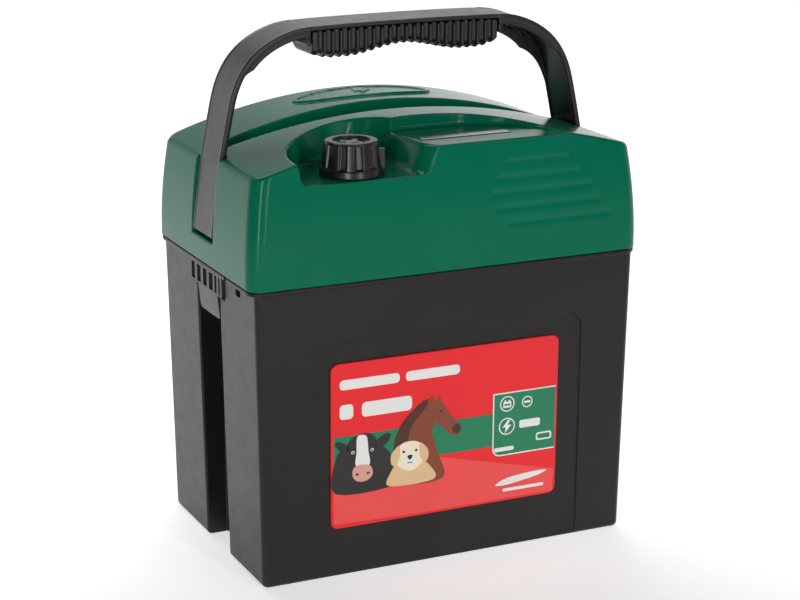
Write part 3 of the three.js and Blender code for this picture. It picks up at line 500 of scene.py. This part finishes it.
def inset_poly(full):
    """closed region inside the handle's side flange, whose depth fades down the leg"""
    t = np.gradient(OC, axis=0)
    t /= np.sqrt((t ** 2).sum(1))[:, None]
    depth = np.where(OC[:, 0] < 101, full, np.maximum(3.3, full - (OC[:, 0] - 101) * 0.75))
    p = OC + np.stack([t[:, 1], -t[:, 0]], 1) * depth[:, None]
    p = p[p[:, 0] > 40]
    return np.concatenate([p, [[p[-1, 0], 190.0], [-20, 190.0], [-20, p[0, 1]]]])


IN_FRONT, IN_REAR = inset_poly(6.0), inset_poly(12.5)


def handle_sdf(x, y, z):
    ax = np.abs(x)
    if np.ndim(x) == 3:
        u = ax[:, :, 0][:, :, None]
    else:
        u = ax
    d, df, dr = poly_sd(u, z, OUT_POLY), poly_sd(u, z, IN_FRONT), poly_sd(u, z, IN_REAR)
    yy = y + 1
    ends = np.abs(yy) - 16
    web = rmax(rmax(d, -(d + 2.6), 0.5), ends, 0.7)
    start = 61.2 - ax
    ff = rmax(rmax(d, -df, 0.8), np.maximum(-16 - yy, yy + 16 - 2.2), 0.7)
    fr = rmax(rmax(d, -dr, 0.8), np.maximum(yy - 16, 16 - 2.2 - yy), 0.7)
    fl = rmax(np.minimum(ff, fr), start, 0.6)
    s = rmin(web, fl, 1.0)
    endw = rmax(rmax(np.maximum(60.9 - ax, ax - 63.1), np.maximum(305 - z, z - 315.2), 0.4), ends + 0.5, 0.4)
    s = rmin(s, endw, 0.5)
    for bx, bz in ((83.0, 303.6), (92.5, 299.2)):
        rr = np.sqrt((u - bx) ** 2 + (z - bz) ** 2)
        s = rmin(s, rmax(rmax(rr - 2.9, 1.5 - rr, 0.4), np.maximum(11.2 - y, y - 13.5), 0.4), 0.4)
    s = rmax(s, 196.8 - z, 0.6)
    for yc in (-8, 6):
        s = np.maximum(s, -np.maximum(np.sqrt((y - yc) ** 2 + (z - 206) ** 2) - 1.7, ax - 122.0))
    return s


surface("carry_handle", handle_sdf,
        axis((-126, -57, 0.8), (-57, 57, 3.0), (57, 126, 0.8)),
        axis((-18, -13.6, 0.55), (-13.6, 11.6, 1.8), (11.6, 16, 0.55)),
        axis((195.5, 240, 1.2), (240, 318, 0.8)),
        "lid", M["handle_plastic"], ["handle"])


def under(x):
    a = np.abs(x)
    return 296.6 + 5.6 * np.cos(np.minimum(1, a / 38) * np.pi / 2) ** 2 + np.where(a > 46, ((a - 46) / 14) ** 2 * 3.2, 0)


def grip_sdf(x, y, z):
    pitch = 120 / 23
    ph = (x + 60) / pitch
    dx = (ph - np.floor(ph) - 0.5) * pitch
    rib = np.maximum(np.exp(-(dx / 1.12) ** 4), smooth(55.5, 57.0, np.abs(x)))
    low = under(x) + 2.1 * (1 - rib)
    top = 313.9 - 0.7 * smooth(40, 60, np.abs(x))
    half = 14.0 + 1.95 * rib * smooth(0, 3, z - low)
    side = np.abs(y + 1) - half
    s = rmax(side, (low - z) / np.sqrt(1 + 0.05), 3.2)
    s = rmax(s, z - np.where(np.abs(y + 1) > 14.0, 312.8, top), 0.2)
    return rmax(s, np.abs(x) - 60, 1.4)


surface("grip_pad", grip_sdf, axis((-61, 61, 0.55)), axis((-18, -10, 0.5), (-10, 8, 1.5), (8, 16, 0.5)),
        axis((294.5, 306, 0.6), (306, 315, 0.9)), "lid", M["grip_plastic"], ["handle_grip"])

# ------------------------------------------------------------------ knob
KX, KY, KZ0, KZ1 = -54.0, -57.5, 237.8, 257.3


def knob_sdf(x, y, z):
    u, v = x - KX, y - KY
    r = np.sqrt(u * u + v * v) + 1e-9
    th = np.arctan2(v, u)
    h = (z - KZ0) / (KZ1 - KZ0)
    R = 18.6 - 2.8 * h
    fl = 0.5 + 0.5 * np.cos(11 * th)
    flute = 1.35 * smooth(0.34, 0.85, fl) * smooth(4.2, 5.2, z - KZ0) * smooth(0.0, 2.0, KZ1 - z)
    ledge = 0.45 * smooth(3.6, 4.4, z - KZ0)
    side = r - (R - flute - ledge)
    s = rmax(side * 0.98, z - KZ1, 1.3)
    s = rmax(s, KZ0 - z, 0.4)
    s = rmax(s, -rmax(r - 10.8, (KZ1 - 1.3) - z, 0.5), 0.5)
    s = rmax(s, -rmax(r - 8.1, (KZ1 - 6) - z, 0.6), 0.5)
    c, sn = math.cos(math.radians(-25)), math.sin(math.radians(-25))
    a, b = u * c + v * sn, -u * sn + v * c
    lug = rmax(rmax(np.abs(a - 16.1) - 3.2, np.abs(b) - 2.3, 0.9), np.maximum(KZ0 + 0.2 - z, z - KZ0 - 14.4), 0.8)
    lug = np.maximum(lug, 13.6 - r)
    s = rmin(s, lug, 0.7)
    s = np.maximum(s, -np.maximum(r - 3.4, z - KZ0 - 12))
    return np.maximum(s, -np.maximum(r - 8, z - KZ0 - 4))


surface("power_knob_cap", knob_sdf, axis((KX - 20, KX + 20.5, 0.42)), axis((KY - 20.5, KY + 20, 0.42)), axis((237, 258.4, 0.5)),
        "power_knob", M["knob_plastic"], ["knob"])


def hub_sdf(x, y, z):
    u, v = x - KX, y - KY
    c = math.sqrt(0.5)
    a, b = (u + v) * c, (v - u) * c
    bar = lambda p, q: rrect(p, q, 7.5, 1.6, 1.5)
    s = rmin(bar(a, b), bar(b, a), 1.0)
    s = rmin(s, np.sqrt(u * u + v * v) - 3.0, 0.8)
    return rmax(s, np.abs(z - (KZ1 - 2.5)) - 1.5, 0.5)


surface("knob_hub_star", hub_sdf, axis((KX - 9, KX + 9, 0.35)), axis((KY - 9, KY + 9, 0.35)), axis((252.4, 257.2, 0.4)),
        "power_knob", M["hub_plastic"], ["knob_hub_cap"])


# ------------------------------------------------------------------ label
def face_y(z):
    return -75.5 + 1.2 - 0.3 - z * PANEL_LEAN


LX0, LX1, LZ0, LZ1 = -76.5, 72.2, 30.2, 131.6


def label_sdf(x, y, z):
    d = rrect(x - (LX0 + LX1) / 2, z - (LZ0 + LZ1) / 2, (LX1 - LX0) / 2, (LZ1 - LZ0) / 2, 5.0)
    depth = face_y(z) - y
    return rmax(rmax(d, depth - 1.0, 0.75), -depth, 0.05)


surface("label_sticker", label_sdf,
        axis((-78, -71, 0.4), (-71, 67, 6), (67, 73.6, 0.4)), axis((-79, -73.4, 0.3)),
        axis((29, 36, 0.4), (36, 126, 6), (126, 133, 0.4)), "bin", M["label_film"], ["label_plate"])


# artwork: thin printed shapes, each a closed film a few hundredths of a millimetre thick
def film(name, shapes, mats):
    """shapes: (outline [(x, z)], layer, material index)"""
    bm = bmesh.new()
    for pts, layer, mi in shapes:
        area = sum(pts[i][0] * pts[(i + 1) % len(pts)][1] - pts[(i + 1) % len(pts)][0] * pts[i][1] for i in range(len(pts)))
        if area < 0:
            pts = pts[::-1]
        h = 1.0 + 0.03 + 0.022 * layer
        front = [bm.verts.new((x / 1000, (face_y(z) - h) / 1000, z / 1000)) for x, z in pts]
        back = [bm.verts.new((x / 1000, (face_y(z) - 0.9) / 1000, z / 1000)) for x, z in pts]
        fs = [bm.faces.new(front), bm.faces.new(back[::-1])]
        n = len(pts)
        for i in range(n):
            fs.append(bm.faces.new((front[(i + 1) % n], front[i], back[i], back[(i + 1) % n])))
        for f in fs:
            f.material_index = mi
    me = bpy.data.meshes.new(name)
    bm.to_mesh(me)
    bm.free()
    ob = bpy.data.objects.new(name, me)
    scene.collection.objects.link(ob)
    for m in mats:
        me.materials.append(m)
    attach(ob, "bin")
    return ob


def rr(x0, x1, z0, z1, r=1.0, n=5, corners=(1, 1, 1, 1)):
    """rounded rectangle; corners: bottom right, top right, top left, bottom left"""
    out = []
    spec = [(x1, z0, -90, -1, 1), (x1, z1, 0, -1, -1), (x0, z1, 90, 1, -1), (x0, z0, 180, 1, 1)]
    for (cx, cz, a0, sx, sz), on in zip(spec, corners):
        if not on:
            out.append((cx, cz))
            continue
        for i in range(n + 1):
            a = math.radians(a0 + 90 * i / n)
            out.append((cx + sx * r + r * math.cos(a), cz + sz * r + r * math.sin(a)))
    return out


def ell(cx, cz, rx, rz, rot=0, n=28):
    c, s = math.cos(math.radians(rot)), math.sin(math.radians(rot))
    return [(cx + rx * math.cos(t) * c - rz * math.sin(t) * s, cz + rx * math.cos(t) * s + rz * math.sin(t) * c)
            for t in (2 * math.pi * i / n for i in range(n))]


def blob(pts, per=5):
    return [tuple(p) for p in catmull(pts, per, closed=True)]


def print_ink(name, rgb, rough=0.2):
    return moulded(name, rgb, rough, 0.03, 0.03, 900, 0.02, 0.00003, coat=0.2, patch=14, spec=0.35)


ink_white = print_ink("print_white", (0.78, 0.78, 0.76))
ink_green = print_ink("print_green", lin(14, 122, 84))
ink_rose = print_ink("print_rose", lin(233, 74, 72))
ink_black = print_ink("print_black", (0.018, 0.016, 0.015))
ink_brown = print_ink("print_brown", lin(132, 62, 34))
ink_tan = print_ink("print_tan", lin(222, 186, 140))
ink_pink = print_ink("print_pink", lin(214, 158, 146))
ink_dark = print_ink("print_dark_brown", lin(74, 34, 20))
ink_cream = print_ink("print_cream", lin(240, 226, 200))
W, G, R, K, B, T, P, D, C = range(9)
inks = [ink_white, ink_green, ink_rose, ink_black, ink_brown, ink_tan, ink_pink, ink_dark, ink_cream]
art = []
# lower field, band, title bars
art.append(([(-74.8, 33.2), (-20, 31.8), (70.2, 31.8), (70.6, 46), (-10, 66), (-74.9, 70)], 0, R))
art.append(([(-74.9, 66.5), (70.7, 66.5), (70.7, 87.2), (-74.9, 87.2)], 1, G))
for x0, x1, z0, z1 in ((-71, -33, 115.5, 121.5), (-29, 6, 115.5, 121.5)):
    art.append((rr(x0, x1, z0, z1, 2.4), 1, W))
art.append((rr(-71, -62.5, 97.5, 106.5, 2.2), 1, W))
art.append((rr(-57, -25, 97.5, 106.5, 2.6), 1, W))
# information box with plain pictograms
bx0, bx1, bz0, bz1 = 28.5, 70.7, 59.5, 99.5
art.append((rr(bx0, bx1, bz0, bz1, 5, corners=(0, 0, 0, 1)), 2, W))
art.append((rr(bx0 + 0.8, bx1, bz0 + 0.8, bz1 - 0.8, 4.2, corners=(0, 0, 0, 1)), 3, G))


def ring(cx, cz, r, w=0.7, layer=4):
    art.append((ell(cx, cz, r, r), layer, W))
    art.append((ell(cx, cz, r - w, r - w), layer + 1, G))


ring(38.0, 92.2, 4.9)
art.append((rr(35.3, 40.7, 89.8, 93.6, 0.5), 6, W))
art.append((rr(36.0, 37.2, 93.7, 94.6, 0.2), 6, W))
art.append((rr(38.8, 40.0, 93.7, 94.6, 0.2), 6, W))
art.append((rr(36.0, 40.0, 91.1, 92.2, 0.3), 7, G))
ring(51.5, 91.8, 3.6)
art.append((rr(49.4, 53.6, 91.1, 92.5, 0.3), 6, W))
ring(38.0, 78.0, 5.4)
art.append(([(38.7, 82.0), (35.0, 77.4), (37.4, 77.4), (36.6, 73.6), (41.0, 78.8), (38.4, 78.8), (40.4, 82.0)], 6, W))
art.append((rr(46.5, 60.5, 75.6, 80.6, 1.2), 4, W))
art.append((rr(29.8, 43.0, 62.4, 65.0, 0.8), 4, W))
art.append((rr(58.0, 68.5, 66.0, 71.0, 1.4), 4, W))
art.append((rr(59.0, 67.5, 67.0, 70.0, 0.9), 5, G))
# the three animals are drawn at full size, then scaled into place together
animals = len(art)
# horse
art.append((blob([(-27, 34), (-31, 58), (-26, 78), (-15, 91), (-5, 96), (1, 94), (6, 85), (12, 76), (15, 70), (12, 66), (6, 68), (1, 74), (-4, 78), (-6, 70), (-2, 54), (2, 33)]), 8, B))
art.append((blob([(-27, 36), (-34, 58), (-30, 78), (-18, 93), (-9, 98), (-12, 90), (-21, 78), (-24, 60), (-20, 36)]), 9, D))
art.append(([(-9, 93), (-6.5, 101), (-3.2, 94)], 9, B))
art.append(([(-4, 94), (-1.0, 100.5), (0.8, 92.5)], 9, B))
art.append((blob([(8.5, 72.5), (12.5, 75), (15, 70.5), (12.5, 66.8), (9, 69)]), 9, D))
art.append((ell(0.2, 87.0, 1.1, 0.9), 10, K))
art.append((ell(12.6, 71.6, 0.7, 0.5), 10, K))
# cow
art.append((blob([(-75, 33.5), (-75, 60), (-66, 72), (-50, 72), (-38, 62), (-33, 48), (-33, 33.5)]), 11, K))
art.append((blob([(-66, 73), (-60, 77.5), (-52, 78), (-47, 73.5), (-46, 64), (-49, 54), (-50, 44), (-56, 40.5), (-62, 44), (-64, 54), (-67, 64)]), 12, K))
art.append((blob([(-60, 76), (-56, 77.5), (-53, 75), (-52, 64), (-51, 54), (-56, 50), (-61, 54), (-60.5, 64)]), 13, W))
art.append((blob([(-66, 70), (-73, 74.5), (-77 + 1.6, 72), (-71, 66.5), (-66, 66)]), 12, K))
art.append((blob([(-47, 70), (-40, 75.5), (-36, 74), (-40, 67), (-46.5, 65.5)]), 12, K))
art.append((blob([(-62.5, 52), (-57, 54), (-50.5, 52), (-49, 45), (-53, 40.8), (-59, 40.8), (-63, 45)]), 14, P))
art.append((ell(-60.0, 46.6, 1.3, 0.9), 15, D))
art.append((ell(-52.2, 46.6, 1.3, 0.9), 15, D))
art.append((ell(-63.0, 64.5, 1.2, 1.3), 14, C))
art.append((ell(-49.4, 64.5, 1.2, 1.3), 14, C))
art.append((ell(-62.9, 64.3, 0.7, 0.8), 15, K))
art.append((ell(-49.5, 64.3, 0.7, 0.8), 15, K))
# dog
art.append((blob([(-37, 33), (-36, 44), (-30, 51), (-16, 51), (-8, 45), (-5, 33)]), 16, T))
art.append((blob([(-33, 60), (-27, 66), (-18, 66), (-12, 60), (-12, 52), (-16, 45.5), (-22, 43), (-28, 45.5), (-33, 52)]), 17, C))
art.append((blob([(-33, 62), (-30, 64), (-29.5, 56), (-32, 49), (-35.5, 50), (-36, 57)]), 18, T))
art.append((blob([(-12, 62), (-15, 64), (-15.5, 56), (-13, 49), (-9.5, 50), (-9, 57)]), 18, T))
art.append((blob([(-26.5, 54), (-22.3, 57), (-18.2, 54), (-18.5, 49), (-22.3, 46.5), (-26.2, 49)]), 18, W))
art.append((blob([(-24.2, 55), (-22.3, 55.8), (-20.4, 55), (-21.2, 52.8), (-22.3, 52), (-23.4, 52.8)]), 19, K))
art.append((ell(-26.8, 58.8, 0.95, 1.05), 19, K))
art.append((ell(-17.9, 58.8, 0.95, 1.05), 19, K))
art.append((rr(-24.2, -20.4, 49.2, 49.9, 0.3), 19, D))
art[animals:] = [([(-73.6 + (x + 75) * 0.90, 52 + (z - 33) * 0.78) for x, z in pts], layer, ink) for pts, layer, ink in art[animals:]]
# plain mark in the lower right corner
art.append((blob([(31, 41.0), (38, 44.5), (50, 46.0), (60, 46.5), (66, 46.0), (60, 43.6), (48, 41.6), (38, 40.4)]), 4, W))
art.append((rr(36, 64, 36.2, 38.2, 0.9), 4, W))
film("label_print", art, inks)

# ------------------------------------------------------------------ carried-over CAD parts
SOFTEN = {"left_latch": 0.35, "right_latch": 0.35, "indicator_window": 0.35, "battery_case": 1.2, "battery_cover": 0.8,
          "battery_terminal_positive": 0.4, "battery_terminal_negative": 0.4, "rim_seal": 0.25, "carrier_plate": 0.3,
          "circuit_board": 0.15, "indicator_board": 0.15, "transformer_core": 0.4, "transformer_coil": 1.2,
          "storage_capacitor": 1.0, "supply_capacitor": 0.8, "heat_sink": 0.2, "thyristor": 0.3, "inductor": 1.2,
          "rotary_switch": 0.6, "switch_nut": 0.4, "switch_shaft": 0.4, "fence_terminal_knob": 0.45, "earth_terminal_knob": 0.45,
          "fence_terminal_stud": 0.3, "earth_terminal_stud": 0.3, "lead_grommet_positive": 0.4, "lead_grommet_negative": 0.4,
          "left_latch_spring": 0.12, "right_latch_spring": 0.12, "left_latch_pin": 0.3, "right_latch_pin": 0.3}
for name, ob in nodes.items():
    if ob.hide_render:
        continue
    slot = SLOT.get(name)
    if slot in M:
        put(ob, M[slot])
    w = SOFTEN.get(name, 0.25)
    bv = ob.modifiers.new("edge", "BEVEL")
    bv.width = w / 1000
    bv.segments = 2
    bv.limit_method = "ANGLE"
    bv.angle_limit = math.radians(35)
    bv.harden_normals = True

# ------------------------------------------------------------------ stage and lights
bm = bmesh.new()
bmesh.ops.create_circle(bm, cap_ends=True, segments=96, radius=2.6)
me = bpy.data.meshes.new("studio_floor")
bm.to_mesh(me)
bm.free()
floor = bpy.data.objects.new("studio_floor", me)
scene.collection.objects.link(floor)
floor.location = (0, 0.4, -0.0002)
# pale floor paper that also glows: a painted glow standing in for studio light on the floor, weaker towards the front
# and stronger towards the back
fm = moulded("floor_paper_glow", (0.84, 0.84, 0.84), 0.9, 0.03, 0.01, 300, 0.02, 0.00005, spec=0.1, patch=3)
nt = fm.node_tree
bs = next(n for n in nt.nodes if n.type == "BSDF_PRINCIPLED")
bs.inputs["Emission Color"].default_value = (1, 1, 1, 1)
tcf = node(nt, "ShaderNodeTexCoord", -900, -700)
dotf = node(nt, "ShaderNodeVectorMath", -700, -700, operation="DOT_PRODUCT")
dotf.inputs[1].default_value = (0.42, 0.907, 0)
# painted glow strength: 0.20 towards the front rising to 0.80 towards the back
floor_glow_ramp = node(nt, "ShaderNodeMapRange", -500, -700, interpolation_type="SMOOTHSTEP")
for k, v in (("From Min", -0.95), ("From Max", -0.05), ("To Min", 0.20), ("To Max", 0.80)):
    floor_glow_ramp.inputs[k].default_value = v
nt.links.new(tcf.outputs["Object"], dotf.inputs[0])
nt.links.new(dotf.outputs["Value"], floor_glow_ramp.inputs["Value"])
nt.links.new(floor_glow_ramp.outputs[0], bs.inputs["Emission Strength"])
me.materials.append(fm)

world = bpy.data.worlds.new("studio")
scene.world = world
world.use_nodes = True
wt = world.node_tree
wt.nodes.clear()
wo = node(wt, "ShaderNodeOutputWorld", 900, 0)
bg = node(wt, "ShaderNodeBackground", 700, 0)
tcw = node(wt, "ShaderNodeTexCoord", -600, 0)
dw = node(wt, "ShaderNodeVectorMath", -400, 100, operation="DOT_PRODUCT")
dw.inputs[1].default_value = (0.42, 0.907, 0)
sepw = node(wt, "ShaderNodeSeparateXYZ", -400, -200)
back = node(wt, "ShaderNodeMapRange", -200, 100, interpolation_type="SMOOTHSTEP")
for k, v in (("From Min", -0.15), ("From Max", 0.55), ("To Min", 0.16), ("To Max", 1.0)):
    back.inputs[k].default_value = v
high = node(wt, "ShaderNodeMapRange", -200, -200, interpolation_type="SMOOTHSTEP")
for k, v in (("From Min", 0.16), ("From Max", 0.50), ("To Min", 1.0), ("To Max", 0.30)):
    high.inputs[k].default_value = v
mulw = node(wt, "ShaderNodeMath", 200, 0, operation="MULTIPLY")
wt.links.new(tcw.outputs["Generated"], dw.inputs[0])
wt.links.new(tcw.outputs["Generated"], sepw.inputs[0])
wt.links.new(dw.outputs["Value"], back.inputs["Value"])
wt.links.new(sepw.outputs["Z"], high.inputs["Value"])
wt.links.new(back.outputs[0], mulw.inputs[0])
wt.links.new(high.outputs[0], mulw.inputs[1])
wt.links.new(mulw.outputs[0], bg.inputs["Strength"])
bg.inputs["Color"].default_value = (1, 1, 1, 1)
wt.links.new(bg.outputs[0], wo.inputs[0])


def area(name, loc, target, size, power, size_y=None):
    l = bpy.data.lights.new(name, "AREA")
    l.energy = power
    l.size = size
    if size_y:
        l.shape = "RECTANGLE"
        l.size_y = size_y
    o = bpy.data.objects.new(name, l)
    scene.collection.objects.link(o)
    o.location = loc
    d = Vector(target) - Vector(loc)
    o.rotation_euler = d.to_track_quat("-Z", "Y").to_euler()
    return o


area("strip_left", (-1.04, -1.39, 0.50), (-0.12, -0.08, 0.2), 0.06, 9, 1.1)
area("strip_front", (0.185, -1.65, 0.50), (-0.12, -0.08, 0.2), 0.05, 6, 1.1)
area("front_fill", (0.9, -1.7, 1.3), (0, 0, 0.15), 1.0, 4.5, 0.9)
area("back_top", (0.1, 0.9, 1.45), (0, 0.1, 0.2), 1.2, 12, 0.8)
